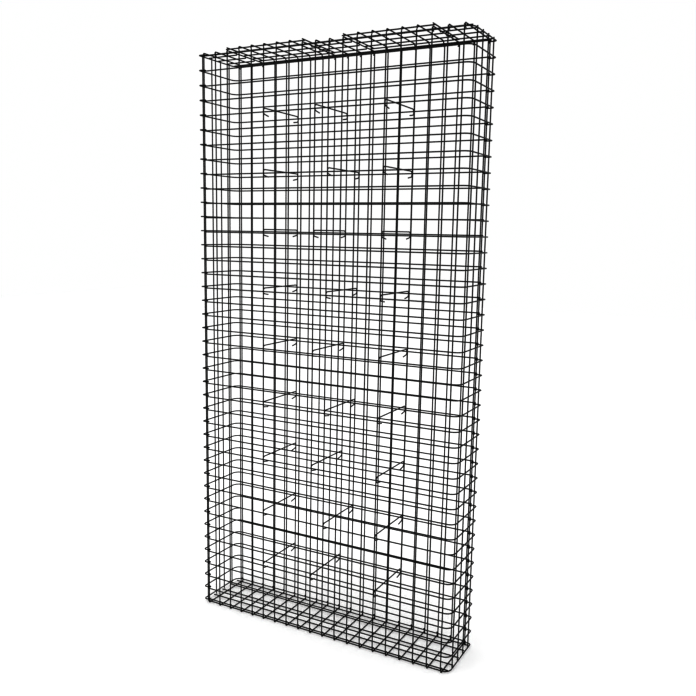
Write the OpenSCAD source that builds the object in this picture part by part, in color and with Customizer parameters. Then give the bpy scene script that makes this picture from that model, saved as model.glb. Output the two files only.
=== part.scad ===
// Gabion basket: an empty welded wire cage made of two bent wall panels, a floor panel and a top
// panel with two fill openings, two hinged covers, and hooked spacer wires from front to back.
// It stands on its floor at z = 0 and is centred on x and y, with its front wall towards -y.

/* [Mesh] */
// Pitch of the welded mesh, wire centre to wire centre
pitch = 50; // [40:5:80]
// Number of cells between the first and last upright of the front wall
front_cells = 19; // [18:1:30]
// Number of cells between the first and last upright of a side wall
side_cells = 3; // [3:1:8]
// Number of cells up the walls
rows_up = 40; // [12:4:40]
// Thickness of the mesh wire
wire_d = 4; // [3:0.5:5]

/* [Corners] */
// Radius of the corner that a wall panel turns in one piece
bend_r = 25; // [15:1:40]
// From the hooked corner to the first upright of the front wall
joint_gap = 20; // [16:1:22]
// From the bent corner to the last upright of the front wall
bend_gap = 30; // [29:1:38]
// From the bent corner to the first upright of the side wall
side_bend_gap = 41; // [30:1:50]
// From the last upright of the side wall to the hooked corner
side_joint_gap = 17; // [15:1:28]
// Radius at which the row ends turn the hooked corner
turn_r = 8; // [6:1:12]
// How far a row's square end reaches past the first upright
row_tail = 3; // [2:1:6]
// Straight end left on each wire behind its hook
tail = 6; // [2:1:9]

/* [Floor and top] */
// Cells from front to back in the floor and top panels
deep_cells = 4; // [3:1:8]
// From a wall to the nearest lengthwise wire of the floor or top
edge_in = 13; // [13:1:20]

/* [Covers] */
// Cells covered by one fill cover
cover_cells = 6; // [4:1:7]
// Floor or top wires over which the covers start, counted from the left
cover_starts = [2, 11];
// How far a cover reaches past its outer wires
cover_side = 8; // [4:1:15]
// Slope at which the cover wires drop to their eyes
dip = 45; // [35:5:55]
// Sweep of the eyes by which the covers hinge on the back row
eye_sweep = 240; // [220:10:260]

/* [Spacers] */
// Rows from one spacer to the next
spacer_step = 4; // [3:1:6]
// Uprights beside which the left, middle and right spacers hang, counted from the left
spacer_at = [5, 9, 14];
// Uprights by which every second middle spacer hangs further right
middle_shift = 1; // [0:1:2]
// Bend radius of the spacer hooks
hook_r = 10; // [8:0.5:12]
// Slope of the spacer's return legs
hook_slope = 10; // [5:1:20]
// Length of the spacer's return legs
hook_leg = 22; // [10:1:35]

/* [Fit] */
// Free play between two wires that cross or hook round one another
play = 0.3; // [0.2:0.1:0.6]
// Side of the weld between two crossing wires
weld = 2.4; // [1.6:0.1:3]

/* [Hidden] */
lap = wire_d + play;
row_low = -lap / 2;
row_high = lap / 2;
outer_level = row_high + lap;
cover_x_level = outer_level + lap;
cover_y_level = cover_x_level + lap;
top = pitch * rows_up;
width = joint_gap + pitch * front_cells + bend_gap;
depth = side_bend_gap + pitch * side_cells + side_joint_gap;
row_start = joint_gap - row_tail;
ground = -outer_level - wire_d / 2;
between_x = (joint_gap + bend_gap) / 2;
deep_step = depth / deep_cells;
mid_wires = [for (n = [1 : deep_cells - 1]) n * deep_step];
lengthwise = concat([edge_in], mid_wires, [depth - edge_in]);
cover_wires = concat([lap / 2], mid_wires, [depth - edge_in]);
bend_clear = bend_r - sqrt(pow(bend_r, 2) - pow(max(0, bend_r - edge_in), 2)) + lap;
knee_bulge = 1.15;
hook_in = sqrt(pow(hook_r - lap, 2) - pow(row_high, 2));
spacers_up = [for (k = [spacer_step : spacer_step : rows_up - 1]) k];
coat = [0.16, 0.17, 0.18];
cover_coat = [0.22, 0.23, 0.24];
spacer_coat = [0.28, 0.29, 0.3];
$fn = 0;

// Moves the cage from its own corner to the centre of the floor it stands on.
module in_place() translate([-width / 2, -depth / 2, -ground]) children();

// Straight wires from the point p along each axis.
module wire_x(p, l) translate(p) rotate([0, 90, 0]) cylinder(d = wire_d, h = l);
module wire_y(p, l) translate(p) rotate([-90, 0, 0]) cylinder(d = wire_d, h = l);
module wire_z(p, l) translate(p) cylinder(d = wire_d, h = l);

// A bent wire in the plan, round the centre c, from angle start over the angle sweep.
module bend_xy(c, r, start, sweep) translate(c) rotate([0, 0, start])
  rotate_extrude(angle = sweep) translate([r, 0]) circle(d = wire_d);

// A bent wire seen from the right side, with y to the right and z up.
module bend_yz(c, r, start, sweep) translate(c) rotate([90, 0, 90]) rotate([0, 0, start])
  rotate_extrude(angle = sweep) translate([r, 0]) circle(d = wire_d);

// One row of a wall panel: front run, bent corner, side run, hooked end round the next panel.
module row(z) {
  wire_x([row_start, 0, z], width - bend_r - row_start);
  bend_xy([width - bend_r, bend_r, z], bend_r, -90, 90);
  wire_y([width, bend_r, z], depth - turn_r - bend_r);
  bend_xy([width - turn_r, depth - turn_r, z], turn_r, 0, 90);
  wire_x([width - joint_gap, depth, z], joint_gap - turn_r);
  bend_xy([width - joint_gap, depth - lap, z], lap, 90, 180);
  wire_x([width - joint_gap, depth - 2 * lap, z], tail);
}

// A wall panel that turns one corner, with its rows raised by shift.
module wall_panel(shift) {
  for (k = [0 : rows_up]) row(pitch * k + shift);
  for (j = [0 : front_cells]) translate([joint_gap + pitch * j, 0, 0]) {
    wire_z([0, lap, -outer_level], top + 2 * outer_level);
    for (k = [0 : rows_up]) translate([0, lap / 2, pitch * k + shift]) cube(weld, center = true);
  }
  for (i = [0 : side_cells]) translate([width, side_bend_gap + pitch * i, 0]) {
    wire_z([-lap, 0, -outer_level], top + 2 * outer_level);
    for (k = [0 : rows_up]) translate([-lap / 2, 0, pitch * k + shift]) cube(weld, center = true);
  }
}

// A floor wire from front to back, hooked up round the bottom rows at both ends.
module hooked_wire() {
  wire_y([0, 0, -outer_level], depth);
  bend_yz([0, 0, row_low], lap, 180, 90);
  wire_z([0, -lap, row_low], lap);
  bend_yz([0, 0, row_high], lap, 90, 90);
  wire_y([0, 0, outer_level], tail / 2);
  bend_yz([0, depth, row_low], lap, -90, 90);
  wire_z([0, depth + lap, row_low], lap);
  bend_yz([0, depth, row_high], lap, 0, 90);
  wire_y([0, depth - tail / 2, outer_level], tail / 2);
}

// True where the wire j lies inside a fill opening, or the cell after it does.
function in_opening(j) = len([for (s = cover_starts) if (j > s && j < s + cover_cells) 1]) > 0;
function cell_open(j) = len([for (s = cover_starts) if (j >= s && j < s + cover_cells) 1]) > 0;

// The floor panel; the top panel is the same mesh turned over, with the openings cut out.
module flat_panel(openings) {
  for (j = [0 : front_cells]) if (!(openings && in_opening(j))) translate([between_x + pitch * j, 0, 0]) {
    hooked_wire();
    for (y = lengthwise) translate([0, y, row_low - lap / 2]) cube(weld, center = true);
  }
  for (y = [edge_in, depth - edge_in]) wire_x([bend_clear, y, row_low], width - 2 * bend_clear);
  for (y = mid_wires) {
    if (!openings) wire_x([lap, y, row_low], width - 2 * lap);
    if (openings) {
      wire_x([lap, y, row_low], between_x - lap);
      wire_x([between_x + pitch * front_cells, y, row_low], width - between_x - pitch * front_cells - lap);
      for (j = [0 : front_cells - 1]) if (!cell_open(j)) wire_x([between_x + pitch * j, y, row_low], pitch);
    }
  }
}

// A cover wire whose front drops before the front row and whose eye holds the back row.
// The run is the straight slope between the knee and the eye.
module eye_wire() {
  run = (cover_y_level - row_high - lap * cos(dip)) / sin(dip);
  knee = depth + lap * sin(dip) - run * cos(dip);
  wire_y([0, 0, cover_y_level], knee);
  translate([0, knee, cover_y_level]) sphere(d = wire_d * knee_bulge);
  bend_yz([0, 0, cover_x_level], lap, 90, 90);
  wire_z([0, -lap, cover_x_level - tail], tail);
  translate([0, depth, row_high]) rotate([-dip, 0, 0]) {
    wire_y([0, -run, lap], run);
    bend_yz([0, 0, 0], lap, 90, -eye_sweep);
  }
}

// A fill cover; its outer wires lie over the wires beside the opening.
module cover(start) translate([between_x + pitch * start, 0, top]) {
  for (j = [0, cover_cells]) wire_y([pitch * j, -lap, cover_y_level], depth);
  for (j = [1 : cover_cells - 1]) translate([pitch * j, 0, 0]) eye_wire();
  for (y = cover_wires) {
    wire_x([-cover_side, y, cover_x_level], pitch * cover_cells + 2 * cover_side);
    for (j = [0 : cover_cells])
      translate([pitch * j, y, cover_x_level + lap / 2]) cube(weld, center = true);
  }
}

// The front half of a spacer, round the front row. The bend to the straight top leg and the
// bend to the sloping return leg are one arc, drawn in two turns that share their middle.
module spacer_end() translate([0, hook_in, 0]) {
  wire_y([0, 0, hook_r], depth / 2 - hook_in + wire_d);
  bend_yz([0, 0, 0], hook_r, 90, 90);
  rotate([-hook_slope, 0, 0]) {
    bend_yz([0, 0, 0], hook_r, 270, -120);
    wire_y([0, 0, -hook_r], hook_leg);
  }
}

module spacer(j, k) translate([between_x + pitch * j, 0, pitch * k]) {
  spacer_end();
  translate([0, depth, 0]) mirror([0, 1, 0]) spacer_end();
}

module front_right_panel() color(coat) in_place() wall_panel(row_low);
module back_left_panel() color(coat) in_place()
  translate([width, depth, 0]) rotate([0, 0, 180]) wall_panel(row_high);
module floor_panel() color(coat) in_place() flat_panel(false);
module top_panel() color(coat) in_place()
  translate([0, depth, top]) rotate([180, 0, 0]) flat_panel(true);

front_right_panel();
back_left_panel();
floor_panel();
top_panel();
color(cover_coat) in_place() cover(cover_starts[0]);  // left_cover
color(cover_coat) in_place() cover(cover_starts[1]);  // right_cover
for (n = [1 : len(spacers_up)]) color(spacer_coat) in_place() {
  spacer(spacer_at[0], spacers_up[n - 1]);
  spacer(spacer_at[1] + middle_shift * ((n + 1) % 2), spacers_up[n - 1]);
  spacer(spacer_at[2], spacers_up[n - 1]);
}
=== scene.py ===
"""Dresses the gabion basket's frame: round welded wires, black coat, floor, light and camera."""

import math

import bmesh
import bpy
from bpy.props import FloatProperty, FloatVectorProperty, IntProperty, PointerProperty
from bpy.types import Operator, Panel, PropertyGroup
from mathutils import Euler, Matrix, Vector


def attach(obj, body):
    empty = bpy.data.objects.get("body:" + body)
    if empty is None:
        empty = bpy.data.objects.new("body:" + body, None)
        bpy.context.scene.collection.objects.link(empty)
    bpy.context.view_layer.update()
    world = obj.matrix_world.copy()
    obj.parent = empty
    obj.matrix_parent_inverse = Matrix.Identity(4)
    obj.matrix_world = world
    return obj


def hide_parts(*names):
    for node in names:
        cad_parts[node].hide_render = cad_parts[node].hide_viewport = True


bl_info = {
    "name": "Gabion Basket",
    "version": (1, 0, 0),
    "blender": (4, 5, 0),
    "location": "View3D > Sidebar > Gabion",
    "description": "Builds a coated, welded wire gabion basket with hinged fill covers",
    "category": "Add Mesh",
}

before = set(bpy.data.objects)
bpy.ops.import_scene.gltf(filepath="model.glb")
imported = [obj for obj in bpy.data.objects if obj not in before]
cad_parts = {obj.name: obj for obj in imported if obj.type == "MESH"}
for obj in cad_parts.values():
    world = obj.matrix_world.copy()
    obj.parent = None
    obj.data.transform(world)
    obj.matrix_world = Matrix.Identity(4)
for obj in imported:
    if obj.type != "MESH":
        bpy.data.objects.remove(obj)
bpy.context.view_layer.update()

# Sizes of the basket in metres, as its solids have them
PITCH = 0.050
FRONT_CELLS = 19
SIDE_CELLS = 3
ROWS_UP = 40
WIRE_R = 0.002
PLAY = 0.0003
LAP = 2 * WIRE_R + PLAY
BEND_R = 0.025
JOINT_GAP = 0.020
BEND_GAP = 0.030
SIDE_BEND_GAP = 0.041
SIDE_JOINT_GAP = 0.017
TURN_R = 0.008
ROW_TAIL = 0.003
TAIL = 0.006
DEEP_CELLS = 4
EDGE_IN = 0.013
COVER_CELLS = 6
COVER_STARTS = {"left_cover": 2, "right_cover": 11}
COVER_SIDE = 0.008
DIP = math.radians(45)
EYE_SWEEP = math.radians(240)
SPACER_STEP = 4
SPACER_AT = {"left": 5, "middle": 9, "right": 14}
MIDDLE_SHIFT = 1
HOOK_R = 0.010
HOOK_SLOPE = math.radians(10)
HOOK_LEG = 0.022

# Shares of a size: a bead's height, a cut end's chamfer, and the least a ring in a bend is narrowed
BEAD_SQUASH = 0.62
CUT_CHAMFER = 0.25
BEND_LIMIT = 0.9
SAME_POINT = 1e-6

# Stage, in metres from the basket's foot
FLOOR_HALF = 12.0
LAMP_PLACE = (-1.8, -2.6, 4.2)
LAMP_AIM = (0.0, 0.0, 1.0)
LAMP_SIZE = 2.0
SENSOR_WIDTH = 36.0

# Coat: size and strength of its mottle and grain
MOTTLE_SCALE = 34.0
GRAIN_SCALE = 900.0
GRAIN_BUMP = 0.22
GRAIN_DEPTH = 0.0002
ROUGH_LESS = 0.10
ROUGH_MORE = 0.14

# Levels and places worked out from the sizes
ROW_LOW = -LAP / 2
ROW_HIGH = LAP / 2
OUTER = ROW_HIGH + LAP
COVER_X = OUTER + LAP
COVER_Y = COVER_X + LAP
TOP = PITCH * ROWS_UP
WIDTH = JOINT_GAP + PITCH * FRONT_CELLS + BEND_GAP
DEPTH = SIDE_BEND_GAP + PITCH * SIDE_CELLS + SIDE_JOINT_GAP
ROW_START = JOINT_GAP - ROW_TAIL
GROUND = -OUTER - WIRE_R
BETWEEN_X = (JOINT_GAP + BEND_GAP) / 2
MID_WIRES = [n * DEPTH / DEEP_CELLS for n in range(1, DEEP_CELLS)]
LENGTHWISE = [EDGE_IN, *MID_WIRES, DEPTH - EDGE_IN]
COVER_WIRES = [LAP / 2, *MID_WIRES, DEPTH - EDGE_IN]
HOOK_IN = math.sqrt((HOOK_R - LAP) ** 2 - ROW_HIGH**2)
CAGE_CENTRE = Vector((WIDTH / 2, DEPTH / 2, GROUND))

X = Vector((1, 0, 0))
Y = Vector((0, 1, 0))
Z = Vector((0, 0, 1))
QUARTER = math.pi / 2


class GabionWire(PropertyGroup):
    """How the wires and their welds are drawn."""

    sides: IntProperty(
        name="Sides", description="Sides of a round wire", default=16, min=6, max=32
    )
    bend_steps: IntProperty(
        name="Bend steps",
        description="Segments in a quarter turn of a bent wire",
        default=8,
        min=3,
        max=16,
    )
    bite: FloatProperty(
        name="Bite",
        description="How far two welded wires sink into one another",
        default=0.0005,
        min=0.0,
        max=0.001,
        unit="LENGTH",
    )
    bead: FloatProperty(
        name="Bead",
        description="Radius of the weld at a crossing",
        default=0.0023,
        min=0.001,
        max=0.004,
        unit="LENGTH",
    )


class GabionCoat(PropertyGroup):
    """The black coat of the wires."""

    colour: FloatVectorProperty(
        name="Coat",
        description="Colour of the coat",
        default=(0.0095, 0.0107, 0.0103),
        subtype="COLOR",
        min=0,
        max=1,
    )
    worn_colour: FloatVectorProperty(
        name="Worn coat",
        description="Colour of its paler patches",
        default=(0.026, 0.028, 0.027),
        subtype="COLOR",
        min=0,
        max=1,
    )
    roughness: FloatProperty(
        name="Roughness",
        description="Roughness of the coat",
        default=0.40,
        min=ROUGH_LESS,
        max=1 - ROUGH_MORE,
    )
    gloss: FloatProperty(
        name="Gloss", description="Specular level of the coat", default=0.3, min=0, max=1
    )


class GabionStage(PropertyGroup):
    """Floor, lights and camera."""

    floor_colour: FloatVectorProperty(
        name="Floor",
        description="Colour of the floor",
        default=(0.74, 0.74, 0.74),
        subtype="COLOR",
        min=0,
        max=1,
    )
    floor_glow: FloatProperty(
        name="Floor glow",
        description="Light that the floor gives off, to soften shadows",
        default=0.30,
        min=0,
    )
    sky: FloatProperty(
        name="Surround light", description="Strength of the white surround", default=1.0, min=0
    )
    tone: FloatProperty(
        name="Tone", description="Gamma of the shown picture", default=0.5, min=0.3, max=1.5
    )
    key: FloatProperty(
        name="Key light",
        description="Power of the large soft lamp in watts",
        default=60.0,
        min=0,
    )
    camera_place: FloatVectorProperty(
        name="Camera place",
        description="Where the camera stands",
        default=(1.2987, -2.3002, 1.4154),
        subtype="XYZ",
        unit="LENGTH",
    )
    camera_yaw: FloatProperty(
        name="Camera turn",
        description="Turn of the view to the left",
        default=0.4966,
        subtype="ANGLE",
    )
    camera_pitch: FloatProperty(
        name="Camera pitch",
        description="Tilt of the view below level",
        default=0.1498,
        subtype="ANGLE",
    )
    camera_roll: FloatProperty(
        name="Camera roll", description="Roll of the view", default=0.0172, subtype="ANGLE"
    )
    focal_widths: FloatProperty(
        name="Focal length",
        description="Focal length in widths of the picture",
        default=769.809 / 696,
        min=0.1,
    )


def arc(centre, u, v, radius, start, sweep, quarter_steps):
    """Points of an arc round centre, in the plane of u and v, angles in radians."""
    steps = max(2, math.ceil(abs(sweep) / QUARTER * quarter_steps))
    angles = [start + sweep * n / steps for n in range(steps + 1)]
    return [centre + radius * (math.cos(a) * u + math.sin(a) * v) for a in angles]


def in_place(points):
    """Moves points from the cage's own corner to the part's frame."""
    return [p - CAGE_CENTRE for p in points]


def without_doubles(points):
    """Drops points that repeat the one before."""
    kept = points[:1]
    for p in points[1:]:
        if (p - kept[-1]).length > SAME_POINT:
            kept.append(p)
    return kept


def add_wire(mesh, points, radius, sides):
    """Adds one round wire along the points, with slightly rounded cut ends."""
    points = without_doubles(points)
    first = (points[1] - points[0]).normalized()
    last = (points[-1] - points[-2]).normalized()
    chamfer = radius * CUT_CHAMFER
    inner = [points[0] + first * chamfer, *points[1:-1], points[-1] - last * chamfer]
    spine = [points[0], *inner, points[-1]]
    radii = [radius - chamfer] + [radius] * (len(spine) - 2) + [radius - chamfer]
    normal = first.orthogonal().normalized()
    rings = []
    for n, p in enumerate(spine):
        ahead = spine[min(n + 1, len(spine) - 1)] - p
        behind = p - spine[max(n - 1, 0)]
        along = (ahead.normalized() + behind.normalized()).normalized()
        normal = (normal - normal.dot(along) * along).normalized()
        other = along.cross(normal)
        at_end = not ahead.length or not behind.length
        narrowing = 1.0 if at_end else math.cos(ahead.angle(behind, 0.0) / 2)
        wide = radii[n] / max(narrowing, BEND_LIMIT)
        ring = []
        for s in range(sides):
            a = 2 * math.pi * s / sides
            ring.append(mesh.verts.new(p + wide * (math.cos(a) * normal + math.sin(a) * other)))
        rings.append(ring)
    for lower, upper in zip(rings, rings[1:]):
        for s in range(sides):
            t = (s + 1) % sides
            mesh.faces.new((lower[s], lower[t], upper[t], upper[s])).smooth = True
    mesh.faces.new(reversed(rings[0]))
    mesh.faces.new(rings[-1])


def ball_shape():
    """Corners and faces of a ball of radius 1, made once and set at every weld."""
    ball = bmesh.new()
    bmesh.ops.create_icosphere(ball, subdivisions=2, radius=1.0)
    ball.verts.index_update()
    corners = [vert.co.copy() for vert in ball.verts]
    faces = [[vert.index for vert in face.verts] for face in ball.faces]
    ball.free()
    return corners, faces


BALL = ball_shape()


def add_bead(mesh, centre, across, radius):
    """Adds the weld between two crossing wires; across points from one wire to the other."""
    turn = across.to_track_quat("Z", "Y").to_matrix()
    corners, faces = BALL
    flat = [radius * Vector((c.x, c.y, BEAD_SQUASH * c.z)) for c in corners]
    verts = [mesh.verts.new(centre + turn @ corner) for corner in flat]
    for face in faces:
        mesh.faces.new([verts[n] for n in face]).smooth = True


def finish_piece(mesh, name, node, body, material):
    """Turns the built mesh into a piece that replaces its node and rides on its body."""
    data = bpy.data.meshes.new(name)
    mesh.to_mesh(data)
    mesh.free()
    piece = bpy.data.objects.new(name, data)
    bpy.context.collection.objects.link(piece)
    data.materials.append(material)
    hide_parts(node)
    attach(piece, body)
    return piece


def row_points(z, quarter_steps):
    """One row: front run, bent corner, side run, turned corner and end hook."""
    upright = Vector((WIDTH - JOINT_GAP, DEPTH - LAP, z))
    points = [Vector((ROW_START, 0, z)), Vector((WIDTH - BEND_R, 0, z))]
    bend = Vector((WIDTH - BEND_R, BEND_R, z))
    turn = Vector((WIDTH - TURN_R, DEPTH - TURN_R, z))
    points += arc(bend, X, Y, BEND_R, -QUARTER, QUARTER, quarter_steps)
    points += arc(turn, X, Y, TURN_R, 0, QUARTER, quarter_steps)
    points += arc(upright, X, Y, LAP, QUARTER, 2 * QUARTER, quarter_steps)
    points.append(Vector((WIDTH - JOINT_GAP + TAIL, DEPTH - 2 * LAP, z)))
    return points


def wall_panel(name, shift, turned, material):
    """A wall panel that turns one corner; turned puts it at the back and left."""
    wire = bpy.context.scene.gabion_wire
    mesh = bmesh.new()

    def placed(points):
        if turned:
            points = [Vector((WIDTH - p.x, DEPTH - p.y, p.z)) for p in points]
        return in_place(points)

    inset = LAP - wire.bite
    for k in range(ROWS_UP + 1):
        add_wire(mesh, placed(row_points(PITCH * k + shift, wire.bend_steps)), WIRE_R, wire.sides)
    stands = [(Vector((JOINT_GAP + PITCH * j, 0, 0)), Y) for j in range(FRONT_CELLS + 1)]
    stands += [(Vector((WIDTH, SIDE_BEND_GAP + PITCH * i, 0)), -X) for i in range(SIDE_CELLS + 1)]
    for foot, inward in stands:
        low = foot + inward * inset - Z * OUTER
        high = low + Z * (TOP + 2 * OUTER)
        add_wire(mesh, placed([low, high]), WIRE_R, wire.sides)
        for k in range(ROWS_UP + 1):
            centre = foot + inward * inset / 2 + Z * (PITCH * k + shift)
            add_bead(mesh, placed([centre])[0], inward, wire.bead)
    return finish_piece(mesh, name + "_wires", name, "cage", material)


def hooked_wire_points(x, quarter_steps):
    """A floor wire from front to back with both ends hooked up round the bottom rows."""
    points = [Vector((x, TAIL / 2, OUTER))]
    turns = ((0, ROW_HIGH, 1), (0, ROW_LOW, 2), (DEPTH, ROW_LOW, -1), (DEPTH, ROW_HIGH, 0))
    for y, z, quarters in turns:
        centre = Vector((x, y, z))
        points += arc(centre, Y, Z, LAP, quarters * QUARTER, QUARTER, quarter_steps)
    points.append(Vector((x, DEPTH - TAIL / 2, OUTER)))
    return points


def cell_is_open(j):
    """True where the cell after the wire j belongs to a fill opening."""
    return any(start <= j < start + COVER_CELLS for start in COVER_STARTS.values())


def wire_is_cut(j):
    """True where the wire j would cross a fill opening."""
    return any(start < j < start + COVER_CELLS for start in COVER_STARTS.values())


def lengthwise_runs(with_openings):
    """The stretches of the middle lengthwise wires, from side to side or cut at the openings."""
    if not with_openings:
        return [(LAP, WIDTH - LAP)]
    edges = [BETWEEN_X + PITCH * j for j in range(FRONT_CELLS + 1)]
    runs = []
    start = LAP
    for j in range(FRONT_CELLS):
        if cell_is_open(j) and start is not None:
            runs.append((start, edges[j]))
            start = None
        if not cell_is_open(j) and start is None:
            start = edges[j]
    runs.append((start, WIDTH - LAP))
    return runs


def flat_panel(name, with_openings, material):
    """The floor panel, or the top panel, which is the same mesh turned over."""
    wire = bpy.context.scene.gabion_wire
    mesh = bmesh.new()

    def placed(points):
        if with_openings:
            points = [Vector((p.x, DEPTH - p.y, TOP - p.z)) for p in points]
        return in_place(points)

    level = ROW_LOW - wire.bite
    for j in range(FRONT_CELLS + 1):
        if with_openings and wire_is_cut(j):
            continue
        x = BETWEEN_X + PITCH * j
        add_wire(mesh, placed(hooked_wire_points(x, wire.bend_steps)), WIRE_R, wire.sides)
        for y in LENGTHWISE:
            centre = Vector((x, y, (level - OUTER) / 2))
            add_bead(mesh, placed([centre])[0], Z, wire.bead)
    inward = BEND_R - math.sqrt(BEND_R**2 - max(0.0, BEND_R - EDGE_IN) ** 2) + LAP
    for y in (EDGE_IN, DEPTH - EDGE_IN):
        ends = [Vector((inward, y, level)), Vector((WIDTH - inward, y, level))]
        add_wire(mesh, placed(ends), WIRE_R, wire.sides)
    for y in MID_WIRES:
        for start, end in lengthwise_runs(with_openings):
            ends = [Vector((start, y, level)), Vector((end, y, level))]
            add_wire(mesh, placed(ends), WIRE_R, wire.sides)
    return finish_piece(mesh, name + "_wires", name, "cage", material)


def eye_wire_points(x, quarter_steps):
    """A cover wire: nose before the front row, straight top, slope and eye round the back row."""
    hinge = Vector((x, DEPTH, ROW_HIGH))
    down = math.cos(DIP) * Y - math.sin(DIP) * Z
    out = math.sin(DIP) * Y + math.cos(DIP) * Z
    run = (COVER_Y - ROW_HIGH - LAP * math.cos(DIP)) / math.sin(DIP)
    knee = hinge + LAP * out - run * down
    ease = LAP * math.tan(DIP / 2)
    points = [Vector((x, -LAP, COVER_X - TAIL))]
    nose = Vector((x, 0, COVER_X))
    bend = Vector((x, knee.y - ease, COVER_Y - LAP))
    points += reversed(arc(nose, Y, Z, LAP, QUARTER, QUARTER, quarter_steps))
    points += reversed(arc(bend, Y, Z, LAP, QUARTER - DIP, DIP, quarter_steps))
    points += arc(hinge, Y, Z, LAP, QUARTER - DIP, -EYE_SWEEP, quarter_steps)
    return points


def cover(name, start, material):
    """A fill cover that hinges on the back row."""
    wire = bpy.context.scene.gabion_wire
    mesh = bmesh.new()
    base = BETWEEN_X + PITCH * start
    lift = Z * TOP
    sunk = COVER_X + wire.bite
    for j in range(COVER_CELLS + 1):
        x = base + PITCH * j
        if j in (0, COVER_CELLS):
            points = [Vector((x, -LAP, COVER_Y)), Vector((x, DEPTH - LAP, COVER_Y))]
        else:
            points = eye_wire_points(x, wire.bend_steps)
        add_wire(mesh, in_place([p + lift for p in points]), WIRE_R, wire.sides)
        for y in COVER_WIRES:
            centre = Vector((x, y, (sunk + COVER_Y) / 2)) + lift
            add_bead(mesh, in_place([centre])[0], Z, wire.bead)
    sides = (base - COVER_SIDE, base + PITCH * COVER_CELLS + COVER_SIDE)
    for y in COVER_WIRES:
        ends = [Vector((x, y, sunk)) + lift for x in sides]
        add_wire(mesh, in_place(ends), WIRE_R, wire.sides)
    return finish_piece(mesh, name + "_wires", name, name, material)


def spacer_half_points(x, z, quarter_steps):
    """Half a spacer from its return leg's tip round the front row to the middle."""
    centre = Vector((x, HOOK_IN, z))
    turn = arc(centre, Y, Z, HOOK_R, QUARTER, 2 * QUARTER - HOOK_SLOPE, quarter_steps)
    leg = math.cos(HOOK_SLOPE) * Y - math.sin(HOOK_SLOPE) * Z
    return [turn[-1] + HOOK_LEG * leg, *reversed(turn)]


def spacer(side, number, material):
    """One hooked spacer between the front and back rows."""
    wire = bpy.context.scene.gabion_wire
    mesh = bmesh.new()
    shift = MIDDLE_SHIFT * ((number + 1) % 2) if side == "middle" else 0
    x = BETWEEN_X + PITCH * (SPACER_AT[side] + shift)
    front = spacer_half_points(x, PITCH * SPACER_STEP * number, wire.bend_steps)
    back = [Vector((p.x, DEPTH - p.y, p.z)) for p in front]
    add_wire(mesh, in_place([*front, *reversed(back)]), WIRE_R, wire.sides)
    node = f"{side}_spacer_{number}"
    return finish_piece(mesh, node + "_wire", node, "cage", material)


def wire_coat(name, painted_light_scale):
    """Satin black coat with a faint mottle and a skin of fine grain."""
    coat = bpy.context.scene.gabion_coat
    material = bpy.data.materials.get(name)
    if material:
        return material
    material = bpy.data.materials.new(name)
    material.use_nodes = True
    nodes = material.node_tree.nodes
    links = material.node_tree.links
    shader = nodes["Principled BSDF"]
    place = nodes.new("ShaderNodeTexCoord")
    mottle = nodes.new("ShaderNodeTexNoise")
    mottle.inputs["Scale"].default_value = MOTTLE_SCALE
    mottle.inputs["Detail"].default_value = 5.0
    mottle.inputs["Roughness"].default_value = 0.6
    ramp = nodes.new("ShaderNodeValToRGB")
    ramp.color_ramp.elements[0].position = 0.38
    # Both ramp colours are scaled per part: painted light makes a paler copy of the coat and
    # painted shade a darker copy
    ramp.color_ramp.elements[0].color = (*[c * painted_light_scale for c in coat.colour], 1)
    ramp.color_ramp.elements[1].position = 0.78
    ramp.color_ramp.elements[1].color = (*[c * painted_light_scale for c in coat.worn_colour], 1)
    grain = nodes.new("ShaderNodeTexNoise")
    grain.inputs["Scale"].default_value = GRAIN_SCALE
    grain.inputs["Detail"].default_value = 3.0
    rough = nodes.new("ShaderNodeMapRange")
    rough.inputs["To Min"].default_value = coat.roughness - ROUGH_LESS
    rough.inputs["To Max"].default_value = coat.roughness + ROUGH_MORE
    bump = nodes.new("ShaderNodeBump")
    bump.inputs["Strength"].default_value = GRAIN_BUMP
    bump.inputs["Distance"].default_value = GRAIN_DEPTH
    links.new(place.outputs["Object"], mottle.inputs["Vector"])
    links.new(place.outputs["Object"], grain.inputs["Vector"])
    links.new(mottle.outputs["Fac"], ramp.inputs["Fac"])
    links.new(ramp.outputs["Color"], shader.inputs["Base Color"])
    links.new(mottle.outputs["Fac"], rough.inputs["Value"])
    links.new(rough.outputs["Result"], shader.inputs["Roughness"])
    links.new(grain.outputs["Fac"], bump.inputs["Height"])
    links.new(bump.outputs["Normal"], shader.inputs["Normal"])
    shader.inputs["Specular IOR Level"].default_value = coat.gloss
    return material


class GABION_OT_wall_panels(Operator):
    """Build the two bent wall panels"""

    bl_idname = "gabion.wall_panels"
    bl_label = "Wall panels"

    def execute(self, context):
        coat = wire_coat("black_mesh_coat", 1.0)
        wall_panel("front_right_panel", ROW_LOW, False, coat)
        wall_panel("back_left_panel", ROW_HIGH, True, coat)
        return {"FINISHED"}


class GABION_OT_flat_panels(Operator):
    """Build the floor panel and the top panel with its fill openings"""

    bl_idname = "gabion.flat_panels"
    bl_label = "Floor and top panels"

    def execute(self, context):
        coat = wire_coat("black_mesh_coat", 1.0)
        flat_panel("floor_panel", False, coat)
        flat_panel("top_panel", True, coat)
        return {"FINISHED"}


class GABION_OT_covers(Operator):
    """Build the two hinged fill covers"""

    bl_idname = "gabion.covers"
    bl_label = "Fill covers"

    def execute(self, context):
        # The covers get the coat painted 10% paler: painted light on the top of the basket
        coat = wire_coat("black_cover_coat_painted_lit", 1.1)
        for name, start in COVER_STARTS.items():
            cover(name, start, coat)
        return {"FINISHED"}


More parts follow.
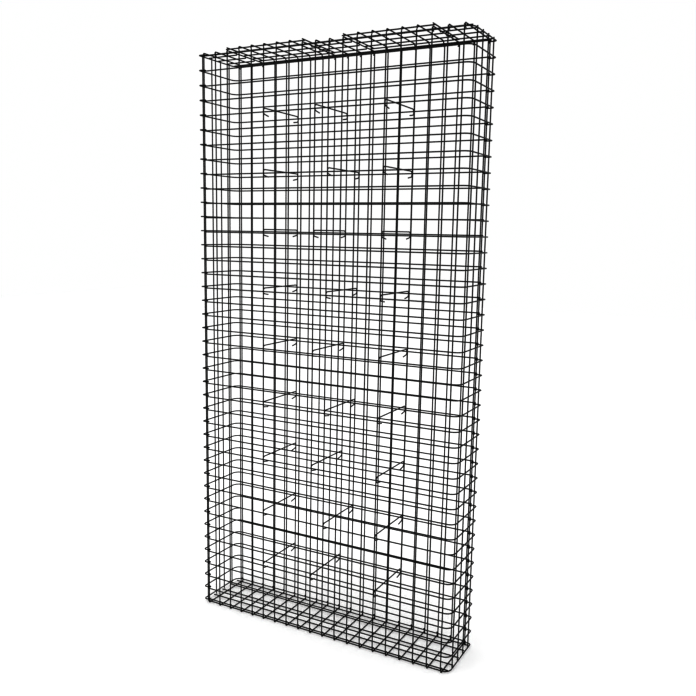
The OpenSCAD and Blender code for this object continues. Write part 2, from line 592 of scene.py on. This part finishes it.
class GABION_OT_spacers(Operator):
    """Build the hooked spacers between the front and back walls"""

    bl_idname = "gabion.spacers"
    bl_label = "Spacers"

    def execute(self, context):
        # The spacers get the coat painted 10% darker: painted shade inside the basket
        coat = wire_coat("black_spacer_coat_painted_shade", 0.9)
        for side in SPACER_AT:
            for number in range(1, (ROWS_UP - 1) // SPACER_STEP + 1):
                spacer(side, number, coat)
        return {"FINISHED"}


class GABION_OT_stage(Operator):
    """Lay the floor, light the basket and set the camera"""

    bl_idname = "gabion.stage"
    bl_label = "Floor, lights and camera"

    def execute(self, context):
        stage = context.scene.gabion_stage
        lay_floor(stage)
        light_basket(context, stage)
        set_camera(context, stage)
        return {"FINISHED"}


def lay_floor(stage):
    """A plain pale floor."""
    data = bpy.data.meshes.new("floor")
    corners = [(FLOOR_HALF * x, FLOOR_HALF * y, 0) for x, y in ((-1, -1), (1, -1), (1, 1), (-1, 1))]
    data.from_pydata(corners, [], [(0, 1, 2, 3)])
    floor = bpy.data.objects.new("floor", data)
    bpy.context.collection.objects.link(floor)
    material = bpy.data.materials.new("pale_floor")
    material.use_nodes = True
    shader = material.node_tree.nodes["Principled BSDF"]
    shader.inputs["Base Color"].default_value = (*stage.floor_colour, 1)
    shader.inputs["Roughness"].default_value = 0.9
    shader.inputs["Specular IOR Level"].default_value = 0.1
    shader.inputs["Emission Color"].default_value = (1, 1, 1, 1)
    shader.inputs["Emission Strength"].default_value = stage.floor_glow
    data.materials.append(material)


def light_basket(context, stage):
    """A white surround and one large soft lamp above the front left."""
    context.scene.view_settings.view_transform = "Standard"
    context.scene.view_settings.gamma = stage.tone
    world = bpy.data.worlds.new("white_surround")
    world.use_nodes = True
    surround = world.node_tree.nodes["Background"]
    surround.inputs["Color"].default_value = (1, 1, 1, 1)
    surround.inputs["Strength"].default_value = stage.sky
    context.scene.world = world
    lamp = bpy.data.lights.new("key_lamp", "AREA")
    lamp.shape = "RECTANGLE"
    lamp.size = LAMP_SIZE
    lamp.size_y = LAMP_SIZE
    lamp.energy = stage.key
    lamp_object = bpy.data.objects.new("key_lamp", lamp)
    lamp_object.location = LAMP_PLACE
    aim = Vector(LAMP_AIM) - lamp_object.location
    lamp_object.rotation_euler = aim.to_track_quat("-Z", "Y").to_euler()
    context.collection.objects.link(lamp_object)


def set_camera(context, stage):
    """A camera at the photograph's viewing angle."""
    lens = bpy.data.cameras.new("camera")
    lens.sensor_width = SENSOR_WIDTH
    lens.lens = SENSOR_WIDTH * stage.focal_widths
    camera = bpy.data.objects.new("camera", lens)
    camera.location = stage.camera_place
    level = Euler((QUARTER - stage.camera_pitch, 0, stage.camera_yaw), "XYZ").to_matrix()
    camera.rotation_euler = (level @ Matrix.Rotation(stage.camera_roll, 3, "Z")).to_euler()
    context.collection.objects.link(camera)
    context.scene.camera = camera


class GABION_PT_sidebar(Panel):
    """Gabion basket tools"""

    bl_idname = "GABION_PT_sidebar"
    bl_label = "Gabion basket"
    bl_space_type = "VIEW_3D"
    bl_region_type = "UI"
    bl_category = "Gabion"

    def draw(self, context):
        layout = self.layout
        scene = context.scene
        for group in (scene.gabion_wire, scene.gabion_coat, scene.gabion_stage):
            box = layout.box()
            box.label(text=group.__doc__)
            for name in group.__annotations__:
                box.prop(group, name)
        for piece in PIECES:
            layout.operator(piece.bl_idname)


PIECES = (
    GABION_OT_stage,
    GABION_OT_wall_panels,
    GABION_OT_flat_panels,
    GABION_OT_covers,
    GABION_OT_spacers,
)
CLASSES = (GabionWire, GabionCoat, GabionStage, *PIECES, GABION_PT_sidebar)


def register():
    for cls in CLASSES:
        bpy.utils.register_class(cls)
    bpy.types.Scene.gabion_wire = PointerProperty(type=GabionWire)
    bpy.types.Scene.gabion_coat = PointerProperty(type=GabionCoat)
    bpy.types.Scene.gabion_stage = PointerProperty(type=GabionStage)


def unregister():
    del bpy.types.Scene.gabion_stage
    del bpy.types.Scene.gabion_coat
    del bpy.types.Scene.gabion_wire
    for cls in reversed(CLASSES):
        bpy.utils.unregister_class(cls)


def main():
    register()
    bpy.ops.gabion.stage()
    bpy.ops.gabion.wall_panels()
    bpy.ops.gabion.flat_panels()
    bpy.ops.gabion.covers()
    bpy.ops.gabion.spacers()


if __name__ == "__main__":
    main()
